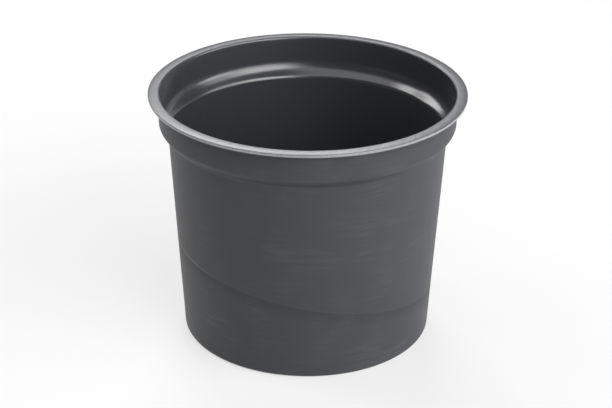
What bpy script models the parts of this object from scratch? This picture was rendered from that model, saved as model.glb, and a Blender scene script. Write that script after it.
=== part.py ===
"""A round plastic seedling cup, 10.5 cm across, with a flat lip, a stepped collar and a drained base.

The cup is one sheet of plastic drawn into a mould, so it is one body with no joints. The sheet keeps
its full gauge at the lip, where the mould holds it, and is thinner in the collar, wall and floor.
Metres, +Z up. The origin is on the cup's axis, on the surface that the cup stands on.
"""

import math

import bmesh
import bpy
from mathutils import Vector

# Overall size
RIM_DIAMETER = 0.105
HEIGHT = 0.085

# Gauge of the plastic
LIP_GAUGE = 0.00095
WALL_GAUGE = 0.00072

# Lip and collar: the lip lies flat, and the collar under it hangs almost straight down
LIP_OVERHANG = 0.0032
UNDER_LIP_ROUND = 0.0002
COLLAR_DEPTH = 0.011
COLLAR_DRAFT = math.radians(1.0)

# Ledge between the collar and the wall, on which a stack of cups rests
LEDGE_WIDTH = 0.003
LEDGE_SLOPE = math.radians(46.0)
COLLAR_FOOT_ROUND = 0.003
WALL_TOP_ROUND = 0.0016

# Wall and base corner
WALL_DRAFT = math.radians(3.67)
BASE_ROUND = 0.0018

# Base: the cup stands on a flat ring, and the floor inside it is raised
RING_WIDTH = 0.0062
FLOOR_RISE = 0.0022
STEP_SLOPE = math.radians(60.0)
STEP_ROUND = 0.0009

# Drainage: one hole at the end of each channel in the floor, and one in the centre
HOLE_COUNT = 8
HOLE_DIAMETER = 0.007
LAND_OUTSIDE_HOLES = 0.002
CENTRE_HOLE_DIAMETER = 0.008
RIDGE_HEIGHT = 0.0014

# Fineness of the mesh
SEGMENTS_AROUND = 64
ARC_STEP = math.radians(23.0)
FLOOR_RINGS = 5
HOLE_SIDES = 16
MERGE = 0.00001

SHEET_COLOUR = (0.040, 0.042, 0.047, 1.0)
SHEET_ROUGHNESS = 0.36


def clear_scene():
    for obj in list(bpy.data.objects):
        bpy.data.objects.remove(obj, do_unlink=True)


def new_collection(name):
    collection = bpy.data.collections.new(name)
    bpy.context.scene.collection.children.link(collection)
    return collection


def sheet_material():
    """Charcoal plastic with a soft shine."""
    material = bpy.data.materials.new("charcoal_plastic")
    material.use_nodes = True
    shader = material.node_tree.nodes["Principled BSDF"]
    shader.inputs["Base Color"].default_value = SHEET_COLOUR
    shader.inputs["Roughness"].default_value = SHEET_ROUGHNESS
    shader.inputs["Metallic"].default_value = 0.0
    return material


def base_radius():
    """Radius at which the wall's slanting line would meet the ground."""
    collar_run = COLLAR_DEPTH - LIP_GAUGE
    collar_foot = RIM_DIAMETER / 2 - LIP_OVERHANG - collar_run * math.tan(COLLAR_DRAFT)
    wall_top_height = HEIGHT - COLLAR_DEPTH - LEDGE_WIDTH * math.tan(LEDGE_SLOPE)
    return collar_foot - LEDGE_WIDTH - wall_top_height * math.tan(WALL_DRAFT)


def floor_radius():
    """Outer radius of the raised floor, where it drops to the standing ring."""
    return base_radius() - RING_WIDTH - FLOOR_RISE / math.tan(STEP_SLOPE)


def hole_circle_radius():
    """The holes cut through the step, so that the trough over the ring drains too."""
    flat_edge = base_radius() - BASE_ROUND * math.tan((math.pi / 2 - WALL_DRAFT) / 2)
    return flat_edge - LAND_OUTSIDE_HOLES - HOLE_DIAMETER / 2


def outer_corners():
    """Corners of the sheet's outer side as (radius, height, rounding), from the lip to the floor."""
    collar_top = RIM_DIAMETER / 2 - LIP_OVERHANG
    under_lip = HEIGHT - LIP_GAUGE
    collar_foot_height = HEIGHT - COLLAR_DEPTH
    collar_foot = collar_top - (under_lip - collar_foot_height) * math.tan(COLLAR_DRAFT)
    wall_top_height = collar_foot_height - LEDGE_WIDTH * math.tan(LEDGE_SLOPE)
    return [
        (RIM_DIAMETER / 2, under_lip, 0.0),
        (collar_top, under_lip, UNDER_LIP_ROUND),
        (collar_foot, collar_foot_height, COLLAR_FOOT_ROUND),
        (collar_foot - LEDGE_WIDTH, wall_top_height, WALL_TOP_ROUND),
        (base_radius(), 0.0, BASE_ROUND),
        (base_radius() - RING_WIDTH, 0.0, STEP_ROUND),
        (floor_radius(), FLOOR_RISE, STEP_ROUND),
        (CENTRE_HOLE_DIAMETER / 2, FLOOR_RISE, 0.0),
    ]


def rounded_corner(before, corner, after, rounding):
    """Points of the arc that rounds a corner; it uses at most half of each straight run."""
    back = (before - corner).normalized()
    ahead = (after - corner).normalized()
    half_angle = back.angle(ahead) / 2
    longest = min((before - corner).length, (after - corner).length) / 2
    run = min(rounding / math.tan(half_angle), longest)
    radius = run * math.tan(half_angle)
    centre = corner + (back + ahead).normalized() * (radius / math.sin(half_angle))
    start = (corner + back * run - centre).normalized()
    end = (corner + ahead * run - centre).normalized()
    steps = max(2, math.ceil(start.angle(end) / ARC_STEP))
    return [centre + radius * start.slerp(end, step / steps) for step in range(steps + 1)]


def outer_line():
    """The outer side of the sheet as points (radius, height), with its corners rounded."""
    corners = outer_corners()
    places = [Vector((radius, height)) for radius, height, rounding in corners]
    line = [places[0]]
    for index in range(1, len(corners) - 1):
        rounding = corners[index][2]
        line += rounded_corner(places[index - 1], places[index], places[index + 1], rounding)
    floor_start, floor_end = line[-1], places[-1]
    line += [floor_start.lerp(floor_end, ring / FLOOR_RINGS) for ring in range(1, FLOOR_RINGS + 1)]
    return line


def segments_around():
    """The same number of segments in each channel of the floor."""
    return HOLE_COUNT * max(4, round(SEGMENTS_AROUND / HOLE_COUNT))


def ridge(radius, angle):
    """How far the floor rises here: channels run out to the holes, with ridges between them."""
    inner, outer = CENTRE_HOLE_DIAMETER / 2, floor_radius()
    along = min(1.0, max(0.0, (outer - radius) / (outer - inner)))
    across = 0.5 - 0.5 * math.cos(HOLE_COUNT * angle)
    return RIDGE_HEIGHT * across * math.sin(math.pi * along) ** 2


def hole_angle(index):
    """The first hole is half a pitch round from +X."""
    return 2 * math.pi * (index + 0.5) / HOLE_COUNT


def turned_sheet():
    """The outer side turned about the axis, with the ridges of the floor pressed up in it."""
    profile = bpy.data.meshes.new("outer_line")
    line = outer_line()
    points = [(place.x, 0.0, place.y) for place in line]
    edges = [(index, index + 1) for index in range(len(points) - 1)]
    profile.from_pydata(points, edges, [])
    guide = bpy.data.objects.new("outer_line", profile)
    guide.hide_render = True
    guide.display_type = "WIRE"
    bpy.context.scene.collection.objects.link(guide)
    turn = guide.modifiers.new("turn", "SCREW")
    turn.steps = segments_around()
    turn.render_steps = turn.steps
    turn.use_merge_vertices = True
    turn.merge_threshold = MERGE
    bpy.context.view_layer.update()
    turned = guide.evaluated_get(bpy.context.evaluated_depsgraph_get())
    sheet = bpy.data.meshes.new_from_object(turned)
    bpy.data.objects.remove(guide, do_unlink=True)
    for vertex in sheet.vertices:
        radius = math.hypot(vertex.co.x, vertex.co.y)
        if radius < floor_radius():
            angle = math.atan2(vertex.co.y, vertex.co.x) - hole_angle(0)
            vertex.co.z += ridge(radius, angle)
    return sheet


def gauge_at(place):
    """Full gauge in the flat of the lip, the wall's gauge everywhere below it."""
    lip_inner_edge = RIM_DIAMETER / 2 - LIP_OVERHANG
    on_lip = place.z > HEIGHT - LIP_GAUGE - MERGE and math.hypot(place.x, place.y) > lip_inner_edge
    return LIP_GAUGE if on_lip else WALL_GAUGE


def add_cup_body(collection):
    sheet = turned_sheet()
    sheet.name = "cup_body"
    body = bpy.data.objects.new("cup_body", sheet)
    collection.objects.link(body)
    gauge = body.vertex_groups.new(name="gauge")
    for vertex in sheet.vertices:
        gauge.add([vertex.index], gauge_at(vertex.co) / LIP_GAUGE, "REPLACE")
    thickness = body.modifiers.new("thickness", "SOLIDIFY")
    thickness.thickness = LIP_GAUGE
    thickness.offset = -1.0
    thickness.use_even_offset = True
    thickness.vertex_group = gauge.name
    sheet.materials.clear()
    sheet.materials.append(sheet_material())
    return body


def add_hole_cutters(collection):
    """One punch for each drainage hole in the ring of holes."""
    punch = bpy.data.meshes.new("hole_punch")
    cylinder = bmesh.new()
    reach = FLOOR_RISE + RIDGE_HEIGHT + 2 * LIP_GAUGE
    bmesh.ops.create_cone(
        cylinder,
        cap_ends=True,
        segments=HOLE_SIDES,
        radius1=HOLE_DIAMETER / 2,
        radius2=HOLE_DIAMETER / 2,
        depth=2 * reach,
    )
    cylinder.to_mesh(punch)
    cylinder.free()
    for index in range(HOLE_COUNT):
        cutter = bpy.data.objects.new(f"hole_punch_{index + 1}", punch)
        collection.objects.link(cutter)
        cutter.hide_render = True
        cutter.display_type = "WIRE"
        angle = hole_angle(index)
        across = hole_circle_radius()
        cutter.location = (across * math.cos(angle), across * math.sin(angle), 0.0)


def cut_holes(body, cutters):
    punched = body.modifiers.new("drainage_holes", "BOOLEAN")
    punched.operation = "DIFFERENCE"
    punched.operand_type = "COLLECTION"
    punched.collection = cutters
    punched.solver = "EXACT"


def shade(body):
    body.data.shade_smooth()
    body.data.set_sharp_from_angle(angle=math.radians(35.0))


def main():
    clear_scene()
    parts = new_collection("seedling_cup")
    cutters = new_collection("cutters")
    body = add_cup_body(parts)
    shade(body)
    add_hole_cutters(cutters)
    cut_holes(body, cutters)


if __name__ == "__main__":
    main()
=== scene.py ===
"""Finish and studio for a round plastic seedling cup.

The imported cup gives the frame: its outer size comes from the cup_body node's box. A finely turned cup
with rounded edges, trim marks and worn charcoal plastic stands for that node, on a pale floor.
"""

import math

import bmesh
import bpy
from mathutils import Matrix, Vector


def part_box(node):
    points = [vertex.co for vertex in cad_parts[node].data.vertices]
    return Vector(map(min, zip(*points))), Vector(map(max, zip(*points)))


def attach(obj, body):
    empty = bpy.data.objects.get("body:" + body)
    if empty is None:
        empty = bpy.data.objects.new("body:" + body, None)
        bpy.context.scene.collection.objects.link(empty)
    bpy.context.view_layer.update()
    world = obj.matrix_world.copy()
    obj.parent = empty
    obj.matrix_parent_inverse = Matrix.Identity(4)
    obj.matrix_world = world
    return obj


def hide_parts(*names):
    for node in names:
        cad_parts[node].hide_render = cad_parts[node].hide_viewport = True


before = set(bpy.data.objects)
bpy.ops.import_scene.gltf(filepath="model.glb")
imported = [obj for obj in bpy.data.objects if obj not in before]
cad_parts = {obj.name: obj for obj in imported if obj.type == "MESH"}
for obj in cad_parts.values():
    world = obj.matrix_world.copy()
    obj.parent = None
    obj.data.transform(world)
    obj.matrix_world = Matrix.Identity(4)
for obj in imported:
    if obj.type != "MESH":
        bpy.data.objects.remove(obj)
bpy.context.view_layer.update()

bl_info = {
    "name": "Seedling cup",
    "version": (1, 0, 0),
    "blender": (4, 5, 0),
    "location": "View3D > Sidebar > Cup",
    "description": "Makes a turned plastic seedling cup with a drained base, and a studio round it",
    "category": "Object",
}

BOX_LOW, BOX_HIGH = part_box("cup_body")

# Place of the collar's foot in the list of corners
COLLAR_FOOT = 2

# Fineness of the turned cup. This count keeps its lines off the holes' centres, where a cut that falls on a
# line would leave slivers, and points nearer than SAME_PLACE are joined after the cut.
SEGMENTS = 322
LONGEST_RUN = 0.002
ARC_POINTS_PER_METRE = 2500.0
FEWEST_ARC_POINTS, MOST_ARC_POINTS = 3.0, 10.0
HOLE_SIDES = 48
PUNCH_LENGTH = 0.016
SAME_PLACE = 0.00001
SHARP_EDGE = math.radians(40.0)

# Waviness of the drawn sheet: how far it is drawn in at most, and how many waves to a metre
WARP = 0.00018
WARP_SCALE = 26.0
WARP_SEED = 3.0

# Patterns in the plastic. Scales are in features to a metre, or round the cup in features to its radius.
MOTTLE_SCALE = 95.0
GRAIN_SCALE = 900.0
SCUFF_ROUND, SCUFF_DOWN = 3.5, 1100.0
DRAW_ROUND, DRAW_DOWN = 70.0, 9.0
STREAKS_ROUND, STREAK_SLANT = 130.0, 20.0

# Where a pattern starts to mark the plastic and where it marks it fully
FOOT_WEAR = (0.45, 0.6)
MOTTLED_PATCH = (0.4, 0.8)
SCUFFED_PATCH = (0.3, 0.8)

# A line rubbed round the wall by a cup that it was stacked in askew: its height on the axis, its fall
# along X and along Y, its half width, and how far the darker, rougher band under it reaches
RUB_HEIGHT = 0.025
RUB_FALL = (0.188, 0.035)
RUB_HALF_WIDTH = 0.0006
RUB_BAND = 0.006

# The line is faint except towards -X, where its paleness is mostly a painted highlight: how far out on that
# side it starts to gain strength and where it has all of it, and the share that it has elsewhere
RUB_HIGHLIGHT_GAIN = (0.030, 0.036)
RUB_FAINTEST = 0.08

# Depths of the surface marks in metres
RUB_DEPTH = 0.000016
GRAIN_DEPTH = 0.0000022
SCUFF_DEPTH = 0.0000012
DRAW_DEPTH = 0.0000030
STREAK_DEPTH = 0.0000060

# How much paler each mark makes the plastic, and how much rougher. The inside's paleness is painted light,
# and the rub line's and trimmed edge's paleness is partly painted highlight.
PATCH_PALENESS = 0.12
INSIDE_PAINTED_LIGHT = 0.03
BAND_PALENESS = 0.04
RUB_PALENESS_AND_HIGHLIGHT = 0.2
FOOT_PALENESS = 0.04
LIP_PALENESS, LIP_STREAKING = 0.35, 0.7
TRIM_PALENESS_AND_HIGHLIGHT, TRIM_SPECKLE = 1.0, 0.5
MOTTLE_ROUGHNESS = 0.05
SCUFF_ROUGHNESS = 0.03
BAND_ROUGHNESS = 0.03

# Stage: width of the floor, how much of its look is plain white, and the grey all round
FLOOR_SIZE = 6.0
PAPER_WHITE = 0.6
WORLD_GREY = 0.04
WHITE = (1.0, 1.0, 1.0, 1.0)

# Panels of light, all as far from the cup: name, azimuth and elevation of the middle in degrees seen from
# the cup, how many degrees wide and tall it looks from there, and radiance
LIGHT_DISTANCE = 1.0
LIGHTS = (
    ("back_panel", -172.5, 40.0, 27.0, 14.0, 15.3),
    ("right_panel", 57.0, 27.0, 70.0, 44.0, 2.3),
    ("front_right_panel", 36.0, 36.0, 40.0, 30.0, 2.0),
    ("low_right_panel", 82.5, 12.0, 30.0, 14.0, 4.1),
    ("back_left_panel", -127.5, 26.0, 29.0, 14.0, 5.2),
    ("high_left_panel", -105.0, 40.0, 15.0, 14.0, 7.0),
    ("front_fill", 38.0, 26.0, 60.0, 42.0, 1.6),
    ("high_front_left_fill", -40.0, 60.0, 60.0, 30.0, 1.3),
)


def length(name, description, default):
    """A length in metres that a user can change."""
    return bpy.props.FloatProperty(
        name=name,
        description=description,
        default=default,
        min=0.0,
        unit="LENGTH",
        subtype="DISTANCE",
        precision=5,
    )


def angle(name, description, degrees):
    return bpy.props.FloatProperty(
        name=name, description=description, default=math.radians(degrees), unit="ROTATION", subtype="ANGLE"
    )


def share(name, description, default):
    """A number from 0 to 1."""
    return bpy.props.FloatProperty(
        name=name, description=description, default=default, min=0.0, max=1.0, subtype="FACTOR"
    )


def colour(name, description, default):
    return bpy.props.FloatVectorProperty(
        name=name, description=description, default=default, size=3, min=0.0, max=1.0, subtype="COLOR"
    )


class CupSizes(bpy.types.PropertyGroup):
    """Sizes of the cup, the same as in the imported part."""

    rim_diameter: length("Rim diameter", "Across the lip", BOX_HIGH.x - BOX_LOW.x)
    height: length("Height", "From the standing ring to the top of the lip", BOX_HIGH.z - BOX_LOW.z)
    lip_gauge: length("Lip gauge", "Thickness of the lip", 0.00095)
    wall_gauge: length("Wall gauge", "Thickness of the collar, wall and floor", 0.00072)
    lip_overhang: length("Lip overhang", "How far the lip stands out from the collar", 0.0032)
    lip_droop: angle("Lip droop", "How far the lip slopes down outwards", 3.5)
    under_lip_round: length("Round under the lip", "Radius where the lip meets the collar", 0.0002)
    lip_top_round: length("Lip top round", "Radius of the lip's upper outer edge", 0.0003)
    cut_round: length("Cut round", "Radius of the lip's lower edge and of the centre hole's edges", 0.00016)
    collar_depth: length("Collar depth", "From the top of the lip to the ledge", 0.011)
    collar_draft: angle("Collar draft", "Taper of the collar", 1.0)
    collar_foot_round: length("Collar foot round", "Radius at the collar's foot", 0.003)
    inner_foot_round: length("Inner foot round", "Radius at the collar's foot inside", 0.006)
    ledge_width: length("Ledge width", "How far the ledge steps in", 0.003)
    ledge_slope: angle("Ledge slope", "Slope of the ledge below level", 46.0)
    wall_top_round: length("Wall top round", "Radius where the ledge meets the wall", 0.0016)
    wall_draft: angle("Wall draft", "Taper of the wall", 3.67)
    base_round: length("Base round", "Radius of the corner at the base", 0.0018)
    ring_width: length("Ring width", "Width of the ring that the cup stands on", 0.0062)
    floor_rise: length("Floor rise", "How far the floor is raised above the ring", 0.0022)
    step_slope: angle("Step slope", "Slope of the step from the ring to the floor", 60.0)
    step_round: length("Step round", "Radius at the foot and head of the step", 0.0009)
    hole_count: bpy.props.IntProperty(name="Holes", description="Holes in the ring", default=8, min=3)
    hole_diameter: length("Hole diameter", "Across one drainage hole", 0.007)
    land_outside_holes: length("Land outside holes", "Flat of the ring left outside a hole", 0.002)
    centre_hole_diameter: length("Centre hole diameter", "Across the hole on the axis", 0.008)
    ridge_height: length("Ridge height", "How far the ridges between the channels rise", 0.0014)


class CupFinish(bpy.types.PropertyGroup):
    """Colours and surface of the plastic."""

    plastic: colour("Plastic", "Charcoal of the sheet", (0.0296, 0.031, 0.0365))
    # This paler grey serves wear, the foot and the lip, and also painted highlight on the rub line and
    # trimmed edge and painted light inside.
    pale_wear_and_highlight: colour("Rubbed plastic", "Paler grey of the lip and of worn edges", (0.26, 0.265, 0.28))
    roughness: share("Roughness", "Roughness of the clean outside", 0.5)
    inner_roughness: share("Inner roughness", "Roughness inside, where the mould didn't touch", 0.235)
    lip_roughness: share("Lip roughness", "Roughness of the lip's top", 0.36)
    inner_gloss: share("Inner gloss", "Weight of the glossy skin inside and on the trimmed edge", 1.0)
    refraction: bpy.props.FloatProperty(
        name="Refraction", description="Of the outside, which the mould's fine grain dulls", default=1.4
    )


class StudioLook(bpy.types.PropertyGroup):
    """Floor, backdrop, lights and camera."""

    floor: colour("Floor", "Pale floor and backdrop", (0.75, 0.75, 0.75))
    camera_distance: length("Camera distance", "From the middle of the rim to the camera", 0.6564)
    camera_elevation: angle("Camera elevation", "Of the camera above the rim", 22.347)
    camera_pitch: angle("Camera pitch", "How far the camera looks down", 25.629)
    camera_yaw: angle("Camera yaw", "How far the camera looks to the left", 0.030)
    camera_roll: angle("Camera roll", "How far the picture leans", 0.426)
    lens: bpy.props.FloatProperty(name="Lens", description="Focal length in millimetres", default=117.65)


class Value:
    """A number or vector on an output socket; arithmetic on it adds Math nodes to its tree."""

    def __init__(self, tree, socket):
        self.tree = tree
        self.socket = socket

    def maths(self, operation, *numbers):
        settings = {"operation": operation}
        return self.tree.node("ShaderNodeMath", settings, dict(enumerate(numbers)))

    def __add__(self, other):
        return self.maths("ADD", self, other)

    __radd__ = __add__

    def __sub__(self, other):
        return self.maths("SUBTRACT", self, other)

    def __rsub__(self, other):
        return self.maths("SUBTRACT", other, self)

    def __mul__(self, other):
        return self.maths("MULTIPLY", self, other)

    __rmul__ = __mul__

    def __truediv__(self, other):
        return self.maths("DIVIDE", self, other)

    def __rtruediv__(self, other):
        return self.maths("DIVIDE", other, self)

    def __pow__(self, other):
        return self.maths("POWER", self, other)


class Tree:
    """A node tree under construction; one method adds a node of any kind and joins it up."""

    def __init__(self, tree):
        self.tree = tree

    def node(self, kind, settings=None, inputs=None, output=0):
        """Adds a node, sets it up, then fills its sockets, and returns the output named or numbered."""
        node = self.tree.nodes.new(kind)
        for name, setting in (settings or {}).items():
            setattr(node, name, setting)
        for name, given in (inputs or {}).items():
            for one in given if isinstance(given, list) else [given]:
                if isinstance(one, Value):
                    self.tree.links.new(one.socket, node.inputs[name])
                elif one is not None:
                    node.inputs[name].default_value = one
        if not node.outputs:
            return node
        return Value(self, node.outputs[output])

    def root(self, value):
        return self.node("ShaderNodeMath", {"operation": "SQRT"}, {0: value})

    def sine(self, value):
        return self.node("ShaderNodeMath", {"operation": "SINE"}, {0: value})

    def cosine(self, value):
        return self.node("ShaderNodeMath", {"operation": "COSINE"}, {0: value})

    def size(self, value):
        return self.node("ShaderNodeMath", {"operation": "ABSOLUTE"}, {0: value})

    def clamp(self, value, low=0.0, high=1.0):
        return self.node("ShaderNodeClamp", None, {"Value": value, "Min": low, "Max": high})

    def vector(self, x, y, z):
        return self.node("ShaderNodeCombineXYZ", None, {"X": x, "Y": y, "Z": z})

    def parts(self, vector):
        """The three coordinates of a vector."""
        return [self.node("ShaderNodeSeparateXYZ", None, {0: vector}, name) for name in "XYZ"]

    def smooth(self, value, low, high):
        """0 below low, 1 above high, with a smooth step between."""
        settings = {"interpolation_type": "SMOOTHSTEP"}
        return self.node("ShaderNodeMapRange", settings, {"Value": value, "From Min": low, "From Max": high})

    def noise(self, vector, scale, detail=2.0, seed=0.0):
        settings = {"noise_dimensions": "4D"}
        inputs = {"Vector": vector, "W": seed, "Scale": scale, "Detail": detail}
        return self.node("ShaderNodeTexNoise", settings, inputs)


def foot_of_collar(sizes):
    """Radius and height of the outer corner at the collar's foot."""
    top = sizes.rim_diameter / 2 - sizes.lip_overhang
    run = sizes.collar_depth - sizes.lip_gauge
    return top - run * math.tan(sizes.collar_draft), sizes.height - sizes.collar_depth


def top_of_wall(sizes):
    radius, height = foot_of_collar(sizes)
    return radius - sizes.ledge_width, height - sizes.ledge_width * math.tan(sizes.ledge_slope)


def base_radius(sizes):
    """Radius at which the wall's outer line meets the ground."""
    radius, height = top_of_wall(sizes)
    return radius - height * math.tan(sizes.wall_draft)


def floor_radius(sizes):
    return base_radius(sizes) - sizes.ring_width - sizes.floor_rise / math.tan(sizes.step_slope)


def hole_circle_radius(sizes):
    flat_edge = base_radius(sizes) - sizes.base_round * math.tan((math.pi / 2 - sizes.wall_draft) / 2)
    return flat_edge - sizes.land_outside_holes - sizes.hole_diameter / 2


def outer_corners(sizes):
    """Corners of the sheet's outer side as (radius, height, rounding), from the lip to the floor."""
    rim = sizes.rim_diameter / 2
    under_lip = sizes.height - sizes.lip_gauge
    base = base_radius(sizes)
    return [
        (rim, under_lip - sizes.lip_overhang * math.tan(sizes.lip_droop), sizes.cut_round),
        (rim - sizes.lip_overhang, under_lip, sizes.under_lip_round),
        (*foot_of_collar(sizes), sizes.collar_foot_round),
        (*top_of_wall(sizes), sizes.wall_top_round),
        (base, 0.0, sizes.base_round),
        (base - sizes.ring_width, 0.0, sizes.step_round),
        (floor_radius(sizes), sizes.floor_rise, sizes.step_round),
        (sizes.centre_hole_diameter / 2, sizes.floor_rise, sizes.cut_round),
    ]


def meeting(point, along, other, other_along):
    """Where two lines meet, each given by a point and a direction."""
    across = along.cross(other_along)
    return point + along * ((other - point).cross(other_along) / across)


def inner_corners(sizes):
    """The same corners a sheet's thickness further in; the sheet gathers inside the collar's foot."""
    corners = outer_corners(sizes)
    places = [Vector((radius, height)) for radius, height, rounding in corners]
    runs = [(after - before).normalized() for before, after in zip(places, places[1:])]
    gauges = [sizes.lip_gauge] + [sizes.wall_gauge] * (len(runs) - 1)
    starts = [
        place + Vector((run.y, -run.x)) * gauge for place, run, gauge in zip(places, runs, gauges)
    ]
    inner = [(places[0].x, starts[0].y, sizes.lip_top_round)]
    for index in range(1, len(runs)):
        place = meeting(starts[index - 1], runs[index - 1], starts[index], runs[index])
        turn = 1 if runs[index - 1].cross(runs[index]) > 0 else -1
        rounding = max(corners[index][2] + turn * sizes.wall_gauge, sizes.cut_round)
        if index == COLLAR_FOOT:
            rounding = sizes.inner_foot_round
        inner.append((place.x, place.y, rounding))
    inner.append((places[-1].x, places[-1].y + sizes.wall_gauge, sizes.cut_round))
    return inner


def section_mesh(sizes):
    """The cut section of the sheet as one closed loop. Each corner holds its rounding and its side."""
    outer, inner = outer_corners(sizes), inner_corners(sizes)
    corners = outer + inner[::-1]
    mesh = bpy.data.meshes.new("cup_section")
    points = [(radius, height, 0.0) for radius, height, rounding in corners]
    edges = [(index, (index + 1) % len(points)) for index in range(len(points))]
    mesh.from_pydata(points, edges, [])
    rounding = mesh.attributes.new("rounding", "FLOAT", "POINT")
    rounding.data.foreach_set("value", [corner[2] for corner in corners])
    inner_side = mesh.attributes.new("inner_side", "FLOAT", "POINT")
    inner_side.data.foreach_set("value", [0.0] * len(outer) + [1.0] * len(inner))
    return mesh


CUP_INPUTS = (
    ("Segments", "NodeSocketInt"),
    ("Longest Run", "NodeSocketFloat"),
    ("Rim Radius", "NodeSocketFloat"),
    ("Floor Radius", "NodeSocketFloat"),
    ("Centre Hole Radius", "NodeSocketFloat"),
    ("Ridge Height", "NodeSocketFloat"),
    ("Hole Count", "NodeSocketInt"),
    ("Hole Radius", "NodeSocketFloat"),
    ("Hole Circle", "NodeSocketFloat"),
    ("Warp", "NodeSocketFloat"),
    ("Seed", "NodeSocketFloat"),
    ("Plastic", "NodeSocketMaterial"),
)


def cup_tree():
    """Geometry Nodes that round the section's corners, turn it about the axis and punch the holes."""
    group = bpy.data.node_groups.new("turned_cup", "GeometryNodeTree")
    group.interface.new_socket("Section", in_out="INPUT", socket_type="NodeSocketGeometry")
    for name, kind in CUP_INPUTS:
        group.interface.new_socket(name, in_out="INPUT", socket_type=kind)
    group.interface.new_socket("Cup", in_out="OUTPUT", socket_type="NodeSocketGeometry")
    tree = Tree(group)
    entry = group.nodes.new("NodeGroupInput")
    given = {socket.name: Value(tree, socket) for socket in entry.outputs if socket.name}

    section = rounded_section(tree, given)
    turned = turned_section(tree, section, given)
    warped = warped_cup(tree, turned, given)
    drained = punched_floor(tree, warped, given)
    real = tree.node("GeometryNodeRealizeInstances", None, {0: drained})
    finished = tree.node("GeometryNodeSetMaterial", None, {"Geometry": real, "Material": given["Plastic"]})
    exit_node = group.nodes.new("NodeGroupOutput")
    group.links.new(finished.socket, exit_node.inputs["Cup"])
    return group


def rounded_section(tree, given):
    """The section as a closed curve with arcs at its corners and its straight runs cut up."""
    loop = tree.node("GeometryNodeMeshToCurve", None, {"Mesh": given["Section"]})
    rounding = tree.node("GeometryNodeInputNamedAttribute", {"data_type": "FLOAT"}, {"Name": "rounding"})
    wanted = rounding * ARC_POINTS_PER_METRE + FEWEST_ARC_POINTS
    arc_points = tree.clamp(wanted, FEWEST_ARC_POINTS, MOST_ARC_POINTS)
    filleted = tree.node(
        "GeometryNodeFilletCurve",
        {"mode": "POLY"},
        {"Curve": loop, "Count": arc_points, "Radius": rounding, "Limit Radius": True},
    )
    place = tree.node("GeometryNodeInputPosition")
    next_point = tree.node("GeometryNodeOffsetPointInCurve", None, {"Offset": 1}, "Point Index")
    next_place = tree.node(
        "GeometryNodeFieldAtIndex", {"data_type": "FLOAT_VECTOR"}, {"Value": place, "Index": next_point}
    )
    run = tree.node("ShaderNodeVectorMath", {"operation": "DISTANCE"}, {0: place, 1: next_place}, "Value")
    cuts = run / given["Longest Run"]
    return tree.node("GeometryNodeSubdivideCurve", None, {"Curve": filleted, "Cuts": cuts})


def turned_section(tree, section, given):
    """The section carried round a circle. A profile's X runs out from the circle and its Y runs down."""
    radius, height = tree.parts(tree.node("GeometryNodeInputPosition"))[:2]
    place = tree.vector(radius - given["Rim Radius"], 0.0 - height, 0.0)
    profile = tree.node("GeometryNodeSetPosition", None, {"Geometry": section, "Position": place})
    circle = tree.node(
        "GeometryNodeCurvePrimitiveCircle",
        None,
        {"Resolution": given["Segments"], "Radius": given["Rim Radius"]},
    )
    return tree.node("GeometryNodeCurveToMesh", None, {"Curve": circle, "Profile Curve": profile})


def around(tree, place):
    """Radius and angle about the axis, and the height, of a place."""
    x, y, z = tree.parts(place)
    radius = tree.root(x * x + y * y)
    turn = tree.node("ShaderNodeMath", {"operation": "ARCTAN2"}, {0: y, 1: x})
    return radius, turn, z


def warped_cup(tree, turned, given):
    """Ridges pressed up between the floor's channels, and the slight waviness of a thin drawn wall."""
    place = tree.node("GeometryNodeInputPosition")
    radius, turn = around(tree, place)[:2]
    inner, outer = given["Centre Hole Radius"], given["Floor Radius"]
    along = tree.clamp((outer - radius) / (outer - inner))
    first_hole = math.pi / given["Hole Count"]
    across = 0.5 - 0.5 * tree.cosine(given["Hole Count"] * (turn - first_hole))
    lift = given["Ridge Height"] * across * tree.sine(along * math.pi) ** 2.0
    waves = tree.noise(place, WARP_SCALE, 0.0, given["Seed"])
    drawn_in = given["Warp"] * waves
    x, y = tree.parts(place)[:2]
    offset = tree.vector(0.0 - drawn_in * x / radius, 0.0 - drawn_in * y / radius, lift)
    return tree.node("GeometryNodeSetPosition", None, {"Geometry": turned, "Offset": offset})


def punched_floor(tree, cup, given):
    """One punch on each point of the circle of holes, cut out of the floor and its step."""
    ring = tree.node(
        "GeometryNodeMeshCircle", None, {"Vertices": given["Hole Count"], "Radius": given["Hole Circle"]}
    )
    half_pitch = math.pi / given["Hole Count"]
    turned_ring = tree.node(
        "GeometryNodeTransform", None, {"Geometry": ring, "Rotation": tree.vector(0.0, 0.0, half_pitch)}
    )
    punch = tree.node(
        "GeometryNodeMeshCylinder",
        None,
        {"Vertices": HOLE_SIDES, "Radius": given["Hole Radius"], "Depth": PUNCH_LENGTH},
    )
    punches = tree.node("GeometryNodeInstanceOnPoints", None, {"Points": turned_ring, "Instance": punch})
    solid_punches = tree.node("GeometryNodeRealizeInstances", None, {0: punches})
    punched = tree.node(
        "GeometryNodeMeshBoolean",
        {"operation": "DIFFERENCE", "solver": "EXACT"},
        {"Mesh 1": cup, "Mesh 2": solid_punches},
    )
    return tree.node("GeometryNodeMergeByDistance", None, {"Geometry": punched, "Distance": SAME_PLACE})


def set_inputs(modifier, values):
    """Sets a modifier's inputs by name; each is stored under its socket's identifier."""
    for item in modifier.node_group.interface.items_tree:
        if item.item_type == "SOCKET" and item.in_out == "INPUT" and item.name in values:
            modifier[item.identifier] = values[item.name]


def plain_mesh(obj, name):
    """Swaps an object with modifiers for a new one that holds the finished mesh."""
    bpy.context.view_layer.update()
    evaluated = obj.evaluated_get(bpy.context.evaluated_depsgraph_get())
    mesh = bpy.data.meshes.new_from_object(evaluated)
    mesh.name = name
    bpy.data.objects.remove(obj, do_unlink=True)
    finished = bpy.data.objects.new(name, mesh)
    bpy.context.scene.collection.objects.link(finished)
    return finished


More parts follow.
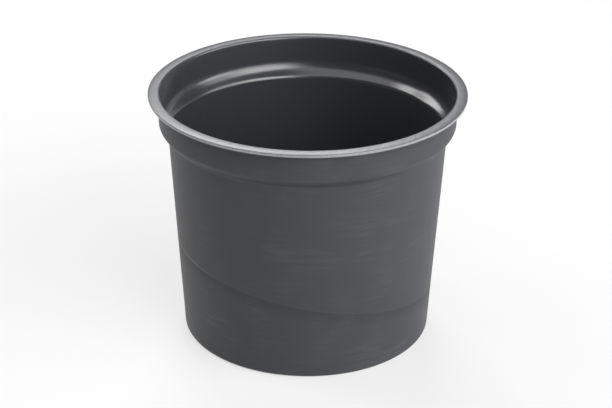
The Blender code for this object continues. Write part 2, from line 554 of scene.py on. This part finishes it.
def turned_cup(sizes, material):
    source = bpy.data.objects.new("cup_section", section_mesh(sizes))
    bpy.context.scene.collection.objects.link(source)
    nodes = source.modifiers.new("turned_cup", "NODES")
    nodes.node_group = cup_tree()
    set_inputs(nodes, {
        "Segments": SEGMENTS,
        "Longest Run": LONGEST_RUN,
        "Rim Radius": sizes.rim_diameter / 2,
        "Floor Radius": floor_radius(sizes),
        "Centre Hole Radius": sizes.centre_hole_diameter / 2,
        "Ridge Height": sizes.ridge_height,
        "Hole Count": sizes.hole_count,
        "Hole Radius": sizes.hole_diameter / 2,
        "Hole Circle": hole_circle_radius(sizes),
        "Warp": WARP,
        "Seed": WARP_SEED,
        "Plastic": material,
    })
    return plain_mesh(source, "cup_shell")


def round_pattern(tree, turn, height, scale_round, scale_down, detail, seed):
    """Noise that closes on itself round the cup, with its own scale round it and down it."""
    across, along = scale_round * tree.cosine(turn), scale_round * tree.sine(turn)
    return tree.noise(tree.vector(across, along, height * scale_down), 1.0, detail, seed)


def plastic_material(finish, sizes):
    """Charcoal plastic: satin, faintly mottled and scuffed, with draw marks and a paler, matt lip; painted
    light makes the inside paler, and painted highlight brightens the rub line and the trimmed edge.
    """
    material = bpy.data.materials.new("charcoal_plastic")
    material.use_nodes = True
    material.node_tree.nodes.clear()
    tree = Tree(material.node_tree)
    place = tree.node("ShaderNodeTexCoord", None, None, "Object")
    radius, turn, height = around(tree, place)
    rim = sizes.rim_diameter / 2

    mottle = tree.noise(place, MOTTLE_SCALE, 3.0, 1.0)
    grain = tree.noise(place, GRAIN_SCALE, 2.0, 2.0)
    scuffs = round_pattern(tree, turn, height, SCUFF_ROUND, SCUFF_DOWN, 2.0, 3.0)
    draw_marks = round_pattern(tree, turn, height, DRAW_ROUND, DRAW_DOWN, 2.0, 4.0)
    streaks = round_pattern(tree, turn + STREAK_SLANT * radius, height, STREAKS_ROUND, 0.0, 2.0, 5.0)

    x, y, z = tree.parts(place)
    above_rub = z + RUB_FALL[0] * x + RUB_FALL[1] * y - RUB_HEIGHT
    # The rub line's paleness is partly a real rubbed mark and partly a painted highlight, strongest towards
    # -X.
    strength = RUB_FAINTEST + (1.0 - RUB_FAINTEST) * tree.smooth(0.0 - x, *RUB_HIGHLIGHT_GAIN)
    rub_and_highlight = strength * (1.0 - tree.smooth(tree.size(above_rub), 0.0, RUB_HALF_WIDTH))
    band_under_line = tree.smooth(0.0 - above_rub, 0.0, RUB_HALF_WIDTH) * tree.smooth(above_rub, -RUB_BAND, 0.0)

    lip = tree.smooth(height, sizes.height - 0.5 * sizes.lip_gauge, sizes.height - 0.1 * sizes.lip_gauge)
    # The trimmed edge is paler partly in its own grey and partly as a painted highlight of the cut edge's
    # shine.
    trimmed = tree.smooth(radius, rim - 1.5 * sizes.cut_round, rim - 0.5 * sizes.cut_round)
    foot = tree.smooth(sizes.base_round - height, 0.0, sizes.base_round) * tree.smooth(mottle, *FOOT_WEAR)
    patches = tree.smooth(mottle, *MOTTLED_PATCH) * tree.smooth(scuffs, *SCUFFED_PATCH)
    inside = tree.node("ShaderNodeAttribute", {"attribute_name": "inner_side"}, None, "Fac")
    outside = 1.0 - inside

    # Paler share: mottling, wear at the foot and the lip are the plastic's own tone; the inside's share is
    # painted light, and the rub line's and trimmed edge's shares are partly painted highlight.
    paleness = tree.clamp(
        PATCH_PALENESS * patches * outside
        + INSIDE_PAINTED_LIGHT * inside
        + BAND_PALENESS * (1.0 - band_under_line) * outside
        + RUB_PALENESS_AND_HIGHLIGHT * rub_and_highlight * outside
        + FOOT_PALENESS * foot
        + lip * (LIP_PALENESS + LIP_STREAKING * (streaks - 0.5))
        + trimmed * (TRIM_PALENESS_AND_HIGHLIGHT + TRIM_SPECKLE * (grain - 0.5))
    )
    base = tree.node(
        "ShaderNodeMix",
        {"data_type": "RGBA"},
        {"Factor": paleness, "A": (*finish.plastic, 1.0), "B": (*finish.pale_wear_and_highlight, 1.0)},
        "Result",
    )
    clean = finish.roughness + inside * (finish.inner_roughness - finish.roughness)
    worn = MOTTLE_ROUGHNESS * (mottle - 0.5) + SCUFF_ROUGHNESS * (scuffs - 0.5)
    roughness = clean + worn + BAND_ROUGHNESS * band_under_line * outside + lip * (finish.lip_roughness - clean)
    relief = (
        GRAIN_DEPTH * grain
        + RUB_DEPTH * rub_and_highlight * outside
        + SCUFF_DEPTH * scuffs * (1.0 - lip)
        + DRAW_DEPTH * draw_marks * (1.0 - lip)
        + STREAK_DEPTH * streaks * lip
    )
    bump = {"Strength": 1.0, "Distance": 1.0, "Height": relief}
    normal = tree.node("ShaderNodeBump", None, bump, "Normal")
    skin = tree.clamp(inside * (1.0 - lip) + trimmed) * finish.inner_gloss
    shader = tree.node("ShaderNodeBsdfPrincipled", None, {
        "Base Color": base,
        "Roughness": roughness,
        "IOR": finish.refraction,
        "Coat Weight": skin,
        "Coat Roughness": finish.inner_roughness,
        "Normal": normal,
    })
    tree.node("ShaderNodeOutputMaterial", None, {"Surface": shader})
    return material


class CUP_OT_shell(bpy.types.Operator):
    """Turns the cup from its section and gives it its plastic"""

    bl_idname = "cup.shell"
    bl_label = "Make the cup"

    def execute(self, context):
        scene = context.scene
        material = plastic_material(scene.cup_finish, scene.cup_sizes)
        cup = turned_cup(scene.cup_sizes, material)
        cup.data.shade_smooth()
        cup.data.set_sharp_from_angle(angle=SHARP_EDGE)
        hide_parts("cup_body")
        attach(cup, "root")
        return {"FINISHED"}


def stage_material(look):
    """Pale floor that reads as white paper, keeps the object's shadow and is clear from below."""
    material = bpy.data.materials.new("pale_floor")
    material.use_nodes = True
    material.node_tree.nodes.clear()
    tree = Tree(material.node_tree)
    rays = [
        tree.node("ShaderNodeLightPath", None, None, name)
        for name in ("Is Camera Ray", "Is Glossy Ray", "Is Transmission Ray")
    ]
    seen = tree.clamp(rays[0] + rays[1] + rays[2])
    paper = tree.node("ShaderNodeBsdfDiffuse", None, {"Color": (*look.floor, 1.0)})
    white = tree.node("ShaderNodeEmission", None, {"Color": WHITE, "Strength": 1.0})
    top = tree.node("ShaderNodeMixShader", None, {0: seen * PAPER_WHITE, 1: paper, 2: white})
    below = tree.node("ShaderNodeNewGeometry", None, None, "Backfacing")
    clear = tree.node("ShaderNodeBsdfTransparent")
    mixed = tree.node("ShaderNodeMixShader", None, {0: below, 1: top, 2: clear})
    tree.node("ShaderNodeOutputMaterial", None, {"Surface": mixed})
    return material


def add_floor(look):
    """A wide level sheet. The cup stands on it, shades it and shows it in its shine."""
    mesh = bpy.data.meshes.new("floor")
    plane = bmesh.new()
    bmesh.ops.create_grid(plane, x_segments=1, y_segments=1, size=FLOOR_SIZE / 2)
    plane.to_mesh(mesh)
    plane.free()
    floor = bpy.data.objects.new("floor", mesh)
    bpy.context.scene.collection.objects.link(floor)
    mesh.materials.append(stage_material(look))
    return floor


def set_world():
    """Dim plain grey all round, so that the shine comes from the panels."""
    world = bpy.data.worlds.new("studio")
    bpy.context.scene.world = world
    world.use_nodes = True
    world.node_tree.nodes.clear()
    tree = Tree(world.node_tree)
    background = tree.node("ShaderNodeBackground", None, {"Color": WHITE, "Strength": WORLD_GREY})
    tree.node("ShaderNodeOutputWorld", None, {"Surface": background})


def direction(azimuth, elevation):
    """Unit vector from the cup. Azimuth 0 is towards the camera, and 90 degrees is to its right."""
    return Vector((
        math.sin(azimuth) * math.cos(elevation),
        -math.cos(azimuth) * math.cos(elevation),
        math.sin(elevation),
    ))


def add_light(name, azimuth, elevation, wide, tall, radiance):
    """A rectangular soft light aimed at the cup."""
    lamp = bpy.data.lights.new(name, "AREA")
    lamp.shape = "RECTANGLE"
    lamp.size = 2 * LIGHT_DISTANCE * math.tan(math.radians(wide) / 2)
    lamp.size_y = 2 * LIGHT_DISTANCE * math.tan(math.radians(tall) / 2)
    lamp.energy = radiance * math.pi * lamp.size * lamp.size_y
    obj = bpy.data.objects.new(name, lamp)
    bpy.context.scene.collection.objects.link(obj)
    away = direction(math.radians(azimuth), math.radians(elevation))
    target = Vector((0.0, 0.0, (BOX_LOW.z + BOX_HIGH.z) / 2))
    obj.location = target + away * LIGHT_DISTANCE
    obj.rotation_euler = away.to_track_quat("Z", "Y").to_euler()
    return obj


def camera_rotation(look):
    """Rows are the picture's right, down and forward directions, turned by pitch, then yaw, then roll."""
    pitch = Matrix((
        (1.0, 0.0, 0.0),
        (0.0, -math.sin(look.camera_pitch), -math.cos(look.camera_pitch)),
        (0.0, math.cos(look.camera_pitch), -math.sin(look.camera_pitch)),
    ))
    cos_yaw, sin_yaw = math.cos(-look.camera_yaw), math.sin(-look.camera_yaw)
    yaw = Matrix(((cos_yaw, 0.0, -sin_yaw), (0.0, 1.0, 0.0), (sin_yaw, 0.0, cos_yaw)))
    cos_roll, sin_roll = math.cos(look.camera_roll), math.sin(look.camera_roll)
    roll = Matrix(((cos_roll, -sin_roll, 0.0), (sin_roll, cos_roll, 0.0), (0.0, 0.0, 1.0)))
    right, down, forward = roll @ yaw @ pitch
    return Matrix((right, -down, -forward)).transposed()


def add_camera(look):
    data = bpy.data.cameras.new("camera")
    data.sensor_width = 36.0
    data.lens = look.lens
    data.clip_start, data.clip_end = 0.01, 20.0
    camera = bpy.data.objects.new("camera", data)
    bpy.context.scene.collection.objects.link(camera)
    place = camera_rotation(look).to_4x4()
    place.translation = Vector((
        0.0,
        -look.camera_distance * math.cos(look.camera_elevation),
        BOX_HIGH.z + look.camera_distance * math.sin(look.camera_elevation),
    ))
    camera.matrix_world = place
    bpy.context.scene.camera = camera
    return camera


class CUP_OT_studio(bpy.types.Operator):
    """Lays the pale floor, hangs the soft lights and sets the camera"""

    bl_idname = "cup.studio"
    bl_label = "Set up the studio"

    def execute(self, context):
        look = context.scene.cup_studio
        add_floor(look)
        set_world()
        for light in LIGHTS:
            add_light(*light)
        add_camera(look)
        context.scene.view_settings.view_transform = "Standard"
        return {"FINISHED"}


class CUP_PT_panel(bpy.types.Panel):
    """Sizes, finish and studio of the seedling cup"""

    bl_idname = "CUP_PT_panel"
    bl_label = "Seedling cup"
    bl_space_type = "VIEW_3D"
    bl_region_type = "UI"
    bl_category = "Cup"

    def draw(self, context):
        for group in (context.scene.cup_sizes, context.scene.cup_finish, context.scene.cup_studio):
            box = self.layout.box()
            for name in group.__annotations__:
                box.prop(group, name)
        for operator in OPERATORS:
            self.layout.operator(operator.bl_idname)


GROUPS = {"cup_sizes": CupSizes, "cup_finish": CupFinish, "cup_studio": StudioLook}
OPERATORS = (CUP_OT_shell, CUP_OT_studio)


def register():
    for name, group in GROUPS.items():
        bpy.utils.register_class(group)
        setattr(bpy.types.Scene, name, bpy.props.PointerProperty(type=group))
    for made in (*OPERATORS, CUP_PT_panel):
        bpy.utils.register_class(made)


def unregister():
    for made in reversed((*OPERATORS, CUP_PT_panel)):
        bpy.utils.unregister_class(made)
    for name, group in reversed(GROUPS.items()):
        delattr(bpy.types.Scene, name)
        bpy.utils.unregister_class(group)


def main():
    register()
    bpy.ops.cup.shell()
    bpy.ops.cup.studio()


if __name__ == "__main__":
    main()
